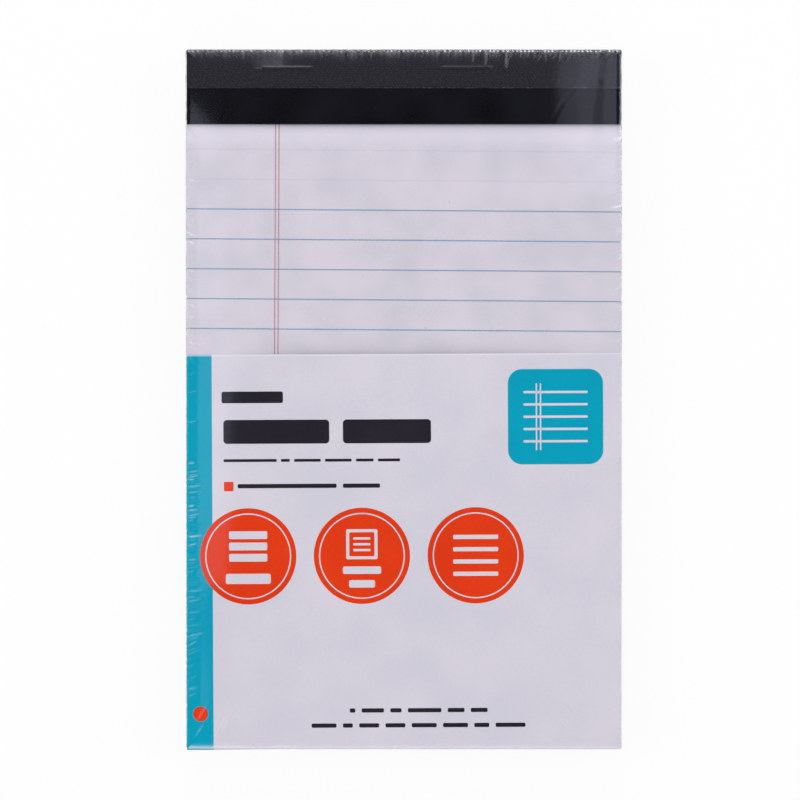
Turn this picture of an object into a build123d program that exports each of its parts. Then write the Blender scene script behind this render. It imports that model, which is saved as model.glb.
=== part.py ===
from build123d import *
import math
import os

# A shrink-wrapped pack of three junior legal pads, lying flat with the printed side up.
# Sizes are in millimetres. +X is the width, +Y runs towards the bound head of the pads and
# +Z is up through the pack. The origin is the middle of the underside.

# The leaves and the board of one pad
pad_names = ["bottom_pad", "middle_pad", "top_pad"]
pad_width = 127.0
pad_length = 203.2
leaf_count = 50
leaf_thickness = 0.085
board_thickness = 0.7

# The smooth header strip and the cloth-grained tape that binds the head
header_length = 21.4
header_thickness = 0.35
tape_width = 25.4
tape_front = 10.9
tape_thickness = 0.2

# The two staples of one pad, driven from the front and clinched inwards on the back
wire_width = 0.55
wire_thickness = 0.45
bend_inner_radius = 0.2
crown_width = 13.5
crown_sink = 0.15
clinch_length = 4.5
staple_from_head = 4.8
staple_places = {"left": -34.5, "right": 17.4}
wire_clearance = 0.08

# The rib that each crown raises in the tape
rib_half_width = 1.0
rib_clearance = 0.05

# The gap under each pad, where it rests on the foot and on the ribs of the pad beneath
seat_gap = 0.03

# The printed card, folded round the foot of the stack
card_overhang = 0.2
card_front = 114.6
card_back = 100.0
card_thickness = 0.35
card_fold_radius = 0.9
card_top_slant = 0.26

# The shrink film and the sealed seam that runs round the head and both sides
film_thickness = 0.05
film_side_gap = 0.3
film_edge_radius = 0.25
film_head_gap = 0.1
film_crown_gap = 0.05
film_head_radius = 0.3
seam_width = 0.5
seam_thickness = 0.4

# Worked out from the sizes above
card_width = pad_width + 2 * card_overhang
stack_height = leaf_count * leaf_thickness
block_height = board_thickness + stack_height
header_top = block_height + header_thickness
bend_radius = bend_inner_radius + wire_thickness / 2
rib_height = wire_thickness - crown_sink + rib_clearance
tape_back = tape_width - tape_front - header_top
rib_y = pad_length - staple_from_head
rib_top = header_top + rib_height + tape_thickness

# Each pad leans by this angle on the ribs of the pad beneath
rise_at_rib = rib_top + tape_thickness - block_height
pad_lean = math.degrees(math.asin(rise_at_rib / rib_y))


def pad_frames(foot_y):
    """One frame for each pad, lowest first: its origin is the foot of the board's underside."""
    frames = [Location((0, foot_y, film_thickness + card_thickness))]
    step = Location((0, 0, block_height + seat_gap), (pad_lean, 0, 0))
    for _ in pad_names[1:]:
        frames.append(frames[-1] * step)
    return frames


def at(frame, y, z):
    """The Y and Z, in the pack, of a point of one pad's own frame."""
    place = (frame * Location((0, y, z))).position
    return place.Y, place.Z


def outline(points, radii):
    """The face inside the points of a side view, with a radius at each."""
    return make_face(FilletPolyline(*points, radius=radii, close=True).wire())


def staple(x, clearance=0.0):
    """A staple of flat wire: crown on the header, legs through the block, ends folded inwards.

    With a clearance it is the groove that the wire lies in."""
    crown_z = header_top - crown_sink + wire_thickness / 2
    clinch_z = (wire_thickness + wire_clearance) / 2
    half = crown_width / 2
    tip = half - clinch_length - clearance
    points = [
        (x - tip, rib_y, clinch_z),
        (x - half, rib_y, clinch_z),
        (x - half, rib_y, crown_z),
        (x + half, rib_y, crown_z),
        (x + half, rib_y, clinch_z),
        (x + tip, rib_y, clinch_z),
    ]
    path = FilletPolyline(*points, radius=bend_radius)
    start = Plane(origin=path @ 0, x_dir=(0, 1, 0), z_dir=path % 0)
    section = Rectangle(wire_width + 2 * clearance, wire_thickness + 2 * clearance)
    return sweep(start * section, path=path)


def rib_section(thickness):
    """The rib's side view, in its own Y and Z: two equal tangent arcs a side, one thickness out."""
    arc_radius = (rib_half_width**2 + rib_height**2) / (4 * rib_height)
    slope = math.asin(rib_half_width / 2 / arc_radius)
    upper_centre = Vector(0, rib_height - arc_radius)
    lower_centre = Vector(rib_half_width, arc_radius)
    upper = arc_radius + thickness
    lower = arc_radius - thickness
    across = Vector(math.sin(slope), math.cos(slope))
    half_across = Vector(math.sin(slope / 2), math.cos(slope / 2))
    crest = upper_centre + Vector(0, upper)
    middle = upper_centre + across * upper
    edge = lower_centre - Vector(0, lower)
    lines = [
        Line((0, 0), crest),
        ThreePointArc(crest, upper_centre + half_across * upper, middle),
        ThreePointArc(middle, lower_centre - half_across * lower, edge),
        Line(edge, (rib_half_width, 0)) if thickness else None,
        Line((rib_half_width, 0), (0, 0)),
    ]
    half = make_face(Wire([line for line in lines if line]))
    return half + mirror(half, Plane.YZ)


def rib(x, thickness):
    """The rib over one crown: a bar of its section, cut to a slope beyond each end of the crown."""
    crest = (crown_width + wire_thickness) / 2 + rib_clearance
    spread = thickness * math.tan(math.atan2(rib_height, rib_half_width) / 2)
    foot = crest + rib_half_width + spread
    side = [
        (-foot, 0),
        (foot, 0),
        (foot, thickness),
        (crest + spread, rib_height + thickness),
        (-crest - spread, rib_height + thickness),
        (-foot, thickness),
    ]
    if not thickness:
        side = [side[0], side[1], side[3], side[4]]
    slopes = extrude(Plane.XZ * outline(side, 0), 2 * rib_half_width, both=True)
    bar = extrude(Plane.YZ * rib_section(thickness), foot, both=True)
    return Pos(x, rib_y, header_top) * (bar & slopes)


def slab(y_from, y_to, z_from, z_to):
    """A flat layer of one pad, as wide as the pad."""
    flat = Box(pad_width, y_to - y_from, z_to - z_from, align=(Align.CENTER, Align.MIN, Align.MIN))
    return Pos(0, y_from, z_from) * flat


def binding_tape():
    """The tape: front arm, over the head and on to the back, raised into a rib over each crown."""
    block = [
        (pad_length - tape_width, 0),
        (pad_length, 0),
        (pad_length, header_top),
        (pad_length - tape_width, header_top),
    ]
    inside = outline(block, 0)
    tape = extrude(Plane.YZ * (offset(inside, tape_thickness) - inside), pad_width / 2, both=True)
    tape -= slab(0, pad_length - tape_front, header_top / 2, 2 * header_top)
    tape -= slab(0, pad_length - tape_back, -header_top, header_top / 2)
    for x in staple_places.values():
        tape = tape + rib(x, tape_thickness) - rib(x, 0)
    return tape


def pad_pieces():
    """The pieces of one pad in its own frame, by their plain names."""
    pieces = {
        "board": slab(0, pad_length, 0, board_thickness),
        "sheets": slab(0, pad_length, board_thickness, block_height),
        "header": slab(pad_length - header_length, pad_length, block_height, header_top),
        "tape": binding_tape(),
    }
    for side, x in staple_places.items():
        groove = staple(x, wire_clearance)
        for name in ("board", "sheets", "header"):
            pieces[name] -= groove
        pieces["staple_" + side] = staple(x)
    return pieces


def on_plane_of(frame, z, y_in_pack):
    """The point where a level of one pad's own frame meets an upright plane across the pack."""
    near = at(frame, 0, z)
    far = at(frame, pad_length, z)
    share = (y_in_pack - near[0]) / (far[0] - near[0])
    return y_in_pack, near[1] + share * (far[1] - near[1])


def stack_outline(top_frame, beyond):
    """The space inside the card's fold, seen from the side and open-ended towards the head."""
    bottom = film_thickness + card_thickness
    points = [
        (card_foot, bottom),
        (beyond, bottom),
        on_plane_of(top_frame, block_height, beyond),
        on_plane_of(top_frame, block_height, card_foot),
    ]
    return outline(points, [card_fold_radius, 0, 0, card_fold_radius])


def printed_card(top_frame):
    """The card, folded round the foot, with its front panel on the top pad's paper."""
    reach = 2 * pad_length
    section = offset(stack_outline(top_frame, foot_y + reach), card_thickness)
    section -= stack_outline(top_frame, foot_y + reach + 2 * card_thickness)
    card = extrude(Plane.YZ * section, card_width / 2, both=True)
    above = Box(reach, reach, reach, align=(Align.CENTER, Align.MIN, Align.MIN))
    below = Box(reach, reach, reach, align=(Align.CENTER, Align.MIN, Align.MAX))
    card -= top_frame * Location((0, card_front, block_height / 2), (0, 0, card_top_slant)) * above
    return card - Pos(0, foot_y + card_back, block_height / 2) * below


def shrink_film(top_frame):
    """The film's shell, tight over the card, the ribs and the head, with its sealed seam."""
    foot = card_foot - card_thickness
    head = foot_y + pad_length + tape_thickness + film_head_gap
    card_end = card_front + card_width / 2 * math.tan(math.radians(card_top_slant))
    card_level = block_height + card_thickness
    crown_level = rib_top + film_crown_gap
    points = [
        (foot, film_thickness),
        (head, film_thickness),
        on_plane_of(top_frame, crown_level, head),
        at(top_frame, rib_y, crown_level),
        at(top_frame, card_end, card_level),
        on_plane_of(top_frame, card_level, foot),
    ]
    radii = [card_fold_radius, film_head_radius, film_head_radius, 0, 0, card_fold_radius]
    inside = outline(points, radii)
    half = max(pad_width, card_width) / 2 + film_side_gap
    solids = []
    for grow in (film_thickness, 0):
        face = offset(inside, grow) if grow else inside
        solid = extrude(Plane.YZ * face, half + grow, both=True)
        sides = solid.faces().sort_by(Axis.X)
        rims = sides[0].edges() + sides[-1].edges()
        solids.append(fillet(rims, film_edge_radius + grow))
    middle = (film_thickness + points[2][1]) / 2
    seam_length = head + film_thickness + seam_width - foot
    seam_span = 2 * (half + film_thickness + seam_width)
    seam = Box(seam_span, seam_length, seam_thickness, align=(Align.CENTER, Align.MIN, Align.CENTER))
    return solids[0] + Pos(0, foot, middle) * seam - solids[1]


# Where the foot lies, so that the film is centred on the origin
top_lean = min(0, at(pad_frames(0)[-1], 0, block_height)[0])
foot_end = top_lean - card_fold_radius - card_thickness - film_thickness
head_end = pad_length + tape_thickness + film_head_gap + film_thickness + seam_width
foot_y = -(foot_end + head_end) / 2
card_foot = foot_y + top_lean - card_fold_radius

frames = pad_frames(foot_y)
nodes = {}
for name, frame in zip(pad_names, frames):
    for piece, solid in pad_pieces().items():
        nodes[name + "_" + piece] = frame * solid
nodes["label_card"] = printed_card(frames[-1])
nodes["shrink_film"] = shrink_film(frames[-1])

os.makedirs("parts", exist_ok=True)
for name, solid in nodes.items():
    solid.label = name
    export_step(solid, "parts/" + name + ".step")
    print(name, round(solid.volume, 3), len(solid.solids()))
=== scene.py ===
import bpy
import math
import numpy as np
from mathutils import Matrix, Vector


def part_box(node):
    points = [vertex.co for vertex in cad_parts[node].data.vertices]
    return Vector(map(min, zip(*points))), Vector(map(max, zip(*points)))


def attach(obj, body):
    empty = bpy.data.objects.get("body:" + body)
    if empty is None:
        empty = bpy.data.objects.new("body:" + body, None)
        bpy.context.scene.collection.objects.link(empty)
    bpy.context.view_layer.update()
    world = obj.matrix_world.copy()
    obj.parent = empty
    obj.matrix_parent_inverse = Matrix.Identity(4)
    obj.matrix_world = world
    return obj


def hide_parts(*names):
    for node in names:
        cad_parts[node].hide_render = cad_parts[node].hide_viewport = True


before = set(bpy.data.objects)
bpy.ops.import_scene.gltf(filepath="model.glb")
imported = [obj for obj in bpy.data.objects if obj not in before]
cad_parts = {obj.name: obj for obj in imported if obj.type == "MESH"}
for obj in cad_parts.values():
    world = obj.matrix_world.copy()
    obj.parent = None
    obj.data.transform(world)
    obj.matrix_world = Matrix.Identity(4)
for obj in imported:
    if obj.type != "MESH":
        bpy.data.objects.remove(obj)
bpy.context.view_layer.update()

# A shrink-wrapped pack of three legal pads, seen from straight above.
# Plan sizes in the dictionaries are millimetres, and mm turns them into metres.
mm = 0.001
scene = bpy.context.scene

# The same sizes as the solids have
pack = {
    "padNames": ("bottom_pad", "middle_pad", "top_pad"),
    "padWidth": 127.0,
    "padLength": 203.2,
    "leafCount": 50,
    "leafThickness": 0.085,
    "boardThickness": 0.7,
    "headerLength": 21.4,
    "headerThickness": 0.35,
    "tapeFront": 10.9,
    "tapeThickness": 0.2,
    "ribHeight": 0.35,
    "staplePlaces": (-34.5, 17.4),
    "crownWidth": 13.5,
    "stapleFromHead": 4.8,
    "seatGap": 0.03,
    "cardWidth": 127.2,
    "cardFront": 114.6,
    "cardBack": 100.0,
    "cardThickness": 0.35,
    "foldRadius": 0.9,
    "cardSlant": 0.26,
}
leafLength = pack["padLength"] - 0.03       # kept clear of the tape
stackHeight = pack["leafCount"] * pack["leafThickness"]
blockHeight = pack["boardThickness"] + stackHeight
headerTop = blockHeight + pack["headerThickness"]
tapeTop = headerTop + pack["tapeThickness"]
ribY = pack["padLength"] - pack["stapleFromHead"]
riseAtRib = tapeTop + pack["ribHeight"] + pack["tapeThickness"] - blockHeight
padLean = math.asin(riseAtRib / ribY)
cardSlope = math.tan(math.radians(pack["cardSlant"]))
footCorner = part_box("bottom_pad_board")[0] / mm


def padFrame(index):
    # foot of the board's underside and lean of one pad: each one pivots on the foot below it
    y, z = footCorner.y, footCorner.z
    for step in range(index):
        lean = step * padLean
        y -= (blockHeight + pack["seatGap"]) * math.sin(lean)
        z += (blockHeight + pack["seatGap"]) * math.cos(lean)
    return y, z, index * padLean


def onPad(index, points):
    # points in a pad's own frame, carried to the pack's frame: turned about X, then moved
    y, z, lean = padFrame(index)
    x, py, pz = points[..., 0], points[..., 1], points[..., 2]
    return np.stack([x, y + py * math.cos(lean) - pz * math.sin(lean),
                     z + py * math.sin(lean) + pz * math.cos(lean)], -1)


def topPadLine(away, level):
    # y in the pack of a line across the top pad, away from its foot and at a level of its own
    return onPad(2, np.array([0, away, level]))[1]


def smooth(low, high, value):
    # 0 below low, 1 above high, and 3t^2 - 2t^3 between
    t = np.clip((value - low) / (high - low), 0, 1)
    return t * t * (3 - 2 * t)


def waves(rng, x, y, length, count=6):
    # a gentle uneven surface: sines of about one length in random directions, summed to about +-1
    total = np.zeros(np.broadcast(x, y).shape)
    for _ in range(count):
        turn, phase = rng.uniform(0, 2 * math.pi, 2)
        size = length * rng.uniform(0.7, 1.5)
        total += np.sin(2 * math.pi * (x * math.cos(turn) + y * math.sin(turn)) / size + phase)
    return total / math.sqrt(2 * count)


def gridQuads(rows, columns, closed=False):
    # the quads of a grid of points, row after row; closed joins the last column to the first
    row = np.arange(rows - 1)[:, None] * columns
    column = np.arange(columns if closed else columns - 1)[None, :]
    a = row + column
    b = row + (column + 1) % columns
    return np.stack([a, b, b + columns, a + columns], -1).reshape(-1, 4)


def ringPair(count):
    # the numbers of a closed ring of points, and for each the one that comes after it
    ring = np.arange(count)
    return ring, (ring + 1) % count


def addPiece(name, points, faces, material, sharp=40):
    # points in millimetres become a mesh in place, with smooth shading up to the sharp angle
    mesh = bpy.data.meshes.new(name)
    mesh.from_pydata((np.asarray(points).reshape(-1, 3) * mm).tolist(), [], faces)
    mesh.polygons.foreach_set("use_smooth", np.ones(len(mesh.polygons), bool))
    mesh.set_sharp_from_angle(angle=math.radians(sharp))
    mesh.materials.append(material)
    mesh.update()
    piece = bpy.data.objects.new(name, mesh)
    scene.collection.objects.link(piece)
    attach(piece, "root")
    return piece


def addValues(piece, name, domain, values):
    piece.data.attributes.new(name, "FLOAT", domain).data.foreach_set("value", values)


def thinSheet(upper, lower):
    # a closed sheet from two grids of the same size, the outer one first, joined along the rim
    rows, columns = upper.shape[:2]
    count = rows * columns
    top = gridQuads(rows, columns)
    index = np.arange(count).reshape(rows, columns)
    rim = np.concatenate([index[0, :], index[1:, -1], index[-1, -2::-1], index[-2:0:-1, 0]])
    after = np.roll(rim, -1)
    wall = np.stack([rim, rim + count, after + count, after], -1)
    faces = np.concatenate([top, top[:, ::-1] + count, wall])
    return np.concatenate([upper.reshape(-1, 3), lower.reshape(-1, 3)]), faces.tolist()


# Material helpers

def newMaterial(name):
    material = bpy.data.materials.new(name)
    material.use_nodes = True
    material.node_tree.nodes.clear()
    return material, material.node_tree


def put(tree, kind, values=None, **settings):
    # one node; values go to its inputs by name or number, and a socket given there is linked
    made = tree.nodes.new("ShaderNode" + kind)
    for key, setting in settings.items():
        setattr(made, key, setting)
    for key, value in (values or {}).items():
        if isinstance(value, bpy.types.NodeSocket):
            tree.links.new(value, made.inputs[key])
        else:
            made.inputs[key].default_value = value
    return made


def maths(tree, operation, *values):
    return put(tree, "Math", dict(enumerate(values)), operation=operation).outputs[0]


def plus(tree, first, second):
    return maths(tree, "ADD", first, second)


def minus(tree, first, second):
    return maths(tree, "SUBTRACT", first, second)


def times(tree, first, second):
    return maths(tree, "MULTIPLY", first, second)


def blendColour(tree, share, first, second):
    return put(tree, "Mix", {0: share, 6: first, 7: second}, data_type="RGBA",
               clamp_factor=True).outputs[2]


def remap(tree, value, low, high, first=0.0, last=1.0, kind="LINEAR"):
    # the range low to high, carried to first to last and held at both ends
    return put(tree, "MapRange", {0: value, 1: low, 2: high, 3: first, 4: last},
               interpolation_type=kind).outputs[0]


def mixShaders(tree, share, first, second):
    return put(tree, "MixShader", {0: share, 1: first, 2: second}).outputs[0]


def bumpOf(tree, height, strength, depth):
    # depth is in millimetres
    return put(tree, "Bump", {"Height": height, "Strength": strength,
                              "Distance": depth * mm}).outputs[0]


def attributeOf(tree, name):
    return put(tree, "Attribute", attribute_name=name, attribute_type="GEOMETRY").outputs["Fac"]


def axesOf(tree, vector):
    return put(tree, "SeparateXYZ", {0: vector}).outputs


def place(tree):
    # Object coordinates in millimetres
    spot = put(tree, "TexCoord").outputs["Object"]
    return put(tree, "VectorMath", {0: spot, 3: 1 / mm}, operation="SCALE").outputs[0]


def noise(tree, vector, scale, detail, roughness=0.5):
    return put(tree, "TexNoise", {"Vector": vector, "Scale": scale, "Detail": detail,
                                  "Roughness": roughness}).outputs[0]


def stretched(tree, vector, scale):
    return put(tree, "Mapping", {"Vector": vector, "Scale": scale}).outputs[0]


def newGroup(name, inputs, outputs):
    # a node group with named sockets; an input's value gives its kind
    group = bpy.data.node_groups.new(name, "ShaderNodeTree")
    for label, value in inputs.items():
        kind = "Vector" if isinstance(value, tuple) else "Float"
        socket = group.interface.new_socket(label, in_out="INPUT", socket_type="NodeSocket" + kind)
        socket.default_value = value
    for label, kind in outputs.items():
        group.interface.new_socket(label, in_out="OUTPUT", socket_type="NodeSocket" + kind)
    return group, group.nodes.new("NodeGroupInput").outputs, group.nodes.new("NodeGroupOutput")


def srgb(red, green, blue):
    # a colour as a screen shows it, 0 to 255, as the linear values that a shader takes
    c = np.array([red, green, blue]) / 255
    linear = np.where(c <= 0.04045, c / 12.92, ((c + 0.055) / 1.055) ** 2.4)
    return (*linear.tolist(), 1.0)


def finishMaterial(tree, shader):
    put(tree, "OutputMaterial", {"Surface": shader})


def finishSolid(tree, values):
    finishMaterial(tree, put(tree, "BsdfPrincipled", values).outputs[0])


# Paper fibre: a fine noise for the felted surface, and a slow one for the cloudiness of the sheet
def fibreGroup():
    group, given, result = newGroup(
        "paperFibre", {"Vector": (0.0, 0.0, 0.0), "Grain": 3.0, "Cloud": 0.12},
        {"Height": "Float", "Tone": "Float"})
    fine = noise(group, given["Vector"], given["Grain"], 2.0)
    cloud = noise(group, given["Vector"], given["Cloud"], 1.0)
    tone = plus(group, times(group, fine, 0.4), times(group, cloud, 0.6))
    group.links.new(fine, result.inputs["Height"])
    group.links.new(tone, result.inputs["Tone"])
    return group


# Specks: cells of a Voronoi pattern whose own random value is low enough hold one dot each
def speckGroup():
    group, given, result = newGroup(
        "specks", {"Vector": (0.0, 0.0, 0.0), "Density": 1.0, "Share": 0.1, "Size": 0.12},
        {"Mask": "Float"})
    cells = put(group, "TexVoronoi", {"Vector": given["Vector"], "Scale": given["Density"]})
    pick = put(group, "SeparateColor", {0: cells.outputs["Color"]}).outputs[0]
    kept = maths(group, "LESS_THAN", pick, given["Share"])
    dot = maths(group, "LESS_THAN", cells.outputs["Distance"], given["Size"])
    group.links.new(times(group, kept, dot), result.inputs["Mask"])
    return group


paperFibre = fibreGroup()
specks = speckGroup()


def paperTone(tree, spot, fibre, first, second):
    # the fibre's height, and a colour between two by its tone; fibre is grain, cloud and spread
    grain, cloud, spread = fibre
    felt = put(tree, "Group", {"Vector": spot, "Grain": grain, "Cloud": cloud},
               node_tree=paperFibre).outputs
    tone = remap(tree, felt["Tone"], 0.5 - spread, 0.5 + spread)
    return felt["Height"], blendColour(tree, tone, first, second)


def speckled(tree, spot, colour, look):
    # a colour with specks; look is their ink, its strength, the density, share of cells and size
    ink, strength, density, share, size = look
    mask = put(tree, "Group", {"Vector": spot, "Density": density, "Share": share, "Size": size},
               node_tree=specks).outputs["Mask"]
    return blendColour(tree, times(tree, mask, strength), colour, ink)


print("stage: helpers and node groups ready")


# Camera: above the pack, looking straight down, with the head of the pads at the top
cameraView = {
    "focal": 135.0,
    "place": (-1.14, -0.28, 894.9),
}
lens = bpy.data.cameras.new("studioCamera")
lens.lens = cameraView["focal"]
lens.sensor_width = 36.0
lens.clip_start, lens.clip_end = 0.05, 30.0
camera = bpy.data.objects.new("studioCamera", lens)
camera.location = Vector(cameraView["place"]) * mm
scene.collection.objects.link(camera)
scene.camera = camera

# Stage: a round floor that turns up into a low wall far away, in metres
stageLook = {
    "around": 96,
    "flatRings": 15,
    "coveRings": 12,
    "floorRadius": 4.0,
    "coveRadius": 1.2,
    "wallHeight": 2.2,
    "drop": -0.00002,
    "nearWhite": 0.92,
    "nearRadius": 0.35,
    "farRadius": 1.6,
    "paint": srgb(238, 238, 238),
}


def makeStage():
    # the profile (radius, height): flat floor, quarter circle, upright wall, turned about Z
    floorEnd, cove, around = stageLook["floorRadius"], stageLook["coveRadius"], stageLook["around"]
    flat = stageLook["flatRings"]
    turn = np.linspace(0, math.pi / 2, stageLook["coveRings"])
    radius = np.concatenate([np.linspace(0.02, floorEnd, flat + 1)[:-1],
                             floorEnd + cove * np.sin(turn), [floorEnd + cove]])
    height = np.concatenate([np.zeros(flat), cove * (1 - np.cos(turn)), [stageLook["wallHeight"]]])
    angle = np.linspace(0, 2 * math.pi, around + 1)[:-1]
    x, y = radius[:, None] * np.cos(angle), radius[:, None] * np.sin(angle)
    points = np.stack(np.broadcast_arrays(x, y, height[:, None] + stageLook["drop"]), -1)
    faces = gridQuads(len(radius), around, closed=True)[:, ::-1].tolist()
    mesh = bpy.data.meshes.new("studioFloor")
    mesh.from_pydata(points.reshape(-1, 3).tolist(), [], faces + [list(range(around))])
    mesh.polygons.foreach_set("use_smooth", np.ones(len(mesh.polygons), bool))
    floor = bpy.data.objects.new("studioFloor", mesh)
    scene.collection.objects.link(floor)
    material, tree = newMaterial("studioFloor")
    spot = put(tree, "TexCoord").outputs["Object"]
    reach = put(tree, "VectorMath", {0: spot}, operation="LENGTH").outputs["Value"]
    far = remap(tree, reach, stageLook["nearRadius"], stageLook["farRadius"], kind="SMOOTHSTEP")
    path = put(tree, "LightPath").outputs
    seen = maths(tree, "MAXIMUM", path["Is Camera Ray"],
                 maths(tree, "MAXIMUM", path["Is Glossy Ray"], path["Is Transmission Ray"]))
    near = stageLook["nearWhite"]
    share = plus(tree, times(tree, far, 1 - near), near)
    matt = put(tree, "BsdfDiffuse", {"Color": stageLook["paint"]}).outputs[0]
    white = put(tree, "Emission", {"Color": (1, 1, 1, 1), "Strength": 1.0}).outputs[0]
    finishMaterial(tree, mixShaders(tree, times(tree, share, seen), matt, white))
    mesh.materials.append(material)


makeStage()

# Lamps: (x, y, z) in metres, size, watts, all aimed at the pack
lampLook = {
    "world": 0.04,
    "lamps": {
        "softLeft": ((-1.25, 0.15, 1.25), 1.1, 14.1),
        "softRight": ((1.25, 0.1, 1.25), 1.1, 14.1),
        "softHead": ((0.0, 1.45, 1.0), 1.0, 15.2),
        "softFoot": ((0.0, -1.35, 1.15), 1.0, 7.2),
    },
}

# Dim panels above the camera, which the film mirrors. Each has a shape, its left, right, low and
# high edges in metres, and a radiance
panelLook = {
    "height": 1.6,
    "colour": (0.77, 0.8, 1.0),
    "panels": {
        "leftPanel": ("RECTANGLE", -0.9, -0.141, -0.19, 0.11, 0.6),
        "leftFootPanel": ("RECTANGLE", -0.9, -0.160, -0.29, -0.19, 0.5),
        "leftHeadPanel": ("ELLIPSE", -0.25, -0.150, 0.110, 0.203, 0.78),
        "rightPanel": ("RECTANGLE", 0.155, 0.178, 0.12, 0.6, 0.56),
        "farRightPanel": ("RECTANGLE", 0.178, 0.9, 0.12, 0.6, 0.82),
    },
}


def addLamp(name, shape, width, length, power, spot):
    # an area lamp, which shines straight down until it is turned
    light = bpy.data.lights.new(name, "AREA")
    light.shape = shape
    light.size, light.size_y = width, length
    light.energy = power
    lamp = bpy.data.objects.new(name, light)
    lamp.location = spot
    scene.collection.objects.link(lamp)
    return lamp


def makePanels():
    # a panel's power follows from its radiance, its area and pi
    for name, (shape, left, right, low, high, radiance) in panelLook["panels"].items():
        area = (right - left) * (high - low) * (math.pi / 4 if shape == "ELLIPSE" else 1)
        spot = ((left + right) / 2, (low + high) / 2, panelLook["height"])
        panel = addLamp(name, shape, right - left, high - low, radiance * math.pi * area, spot)
        panel.data.color = panelLook["colour"]
        panel.visible_camera = False


def makeLamps():
    for name, (spot, size, power) in lampLook["lamps"].items():
        lamp = addLamp(name, "SQUARE", size, size, power, spot)
        lamp.rotation_mode = "QUATERNION"
        lamp.rotation_quaternion = (-Vector(spot)).to_track_quat("-Z", "Y")
    world = bpy.data.worlds.new("studioWorld")
    world.use_nodes = True
    sky = world.node_tree.nodes["Background"].inputs
    sky["Color"].default_value = (1, 1, 1, 1)
    sky["Strength"].default_value = lampLook["world"]
    scene.world = world
    scene.view_settings.view_transform = "Standard"


makeLamps()
makePanels()
print("stage: camera, floor and lamps ready")


# Leaves: the ruled paper of the pads
leafLook = {
    "seed": 11,
    "thickShare": 0.84,      # a leaf's share of its pitch, so that the cut edge shows fine lines
    "shift": 0.035,
    "cutWave": 0.03,
    "sideSteps": 26,
    "paper": srgb(218, 211, 221),
    "paperCloud": srgb(207, 204, 214),
    "paperPaintedLight": srgb(230, 224, 236),
    "edgeDark": srgb(178, 172, 182),
    "shadeTone": srgb(20, 20, 26),
    "fibre": (3.2, 0.085, 0.1),
    "dust": (srgb(120, 104, 112), 0.6, 0.16, 0.14, 0.035),
    "ruleInk": srgb(100, 148, 172),
    "marginInk": srgb(182, 96, 112),
    "rulePitch": 8.745,
    "ruleAtLeft": 55.68,     # one rule's place at the left edge, in the pack's frame
    "ruleSlope": -0.0076,
    "ruleHalf": 0.15,
    "ruleShare": 0.85,
    "faintAbove": 60.0,      # the two rules nearest the header are hardly inked
    "faintShare": 0.12,
    "marginLeft": -37.51,
    "marginGap": 1.01,
    "marginFrom": 80.1,
    "marginSlope": 0.0054,
    "marginHalf": 0.13,
    "marginShare": 0.8,
    "stripShade": (0.58, 1.1),      # shade in the corner under the strip: share and reach
    "cardShade": (0.30, 1.7),       # the same above the card's edge
    # changes along a line: from, to, and the shares at both
    "paintedLightBand": (2.5, 7.5, 0.55, 0.0),          # painted light: the paper is painted paler just below the strip
    "stripShadeAcross": (-60.0, -32.0, 0.6, 1.0),
    "cardShadeAcross": (28.0, 52.0, 1.0, 0.08),
}


def inkLine(tree, away, half, most):
    # a printed line with slightly soft edges, worked out from the distance to its middle
    return remap(tree, away, half - 0.1, half + 0.06, most, 0.0)


def beyondCard(tree, axis):
    # how far a point lies beyond the card's slanting end, towards the head
    aslant = times(tree, axis["X"], cardSlope)
    return minus(tree, minus(tree, axis["Y"], topPadLine(pack["cardFront"], blockHeight)), aslant)


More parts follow.
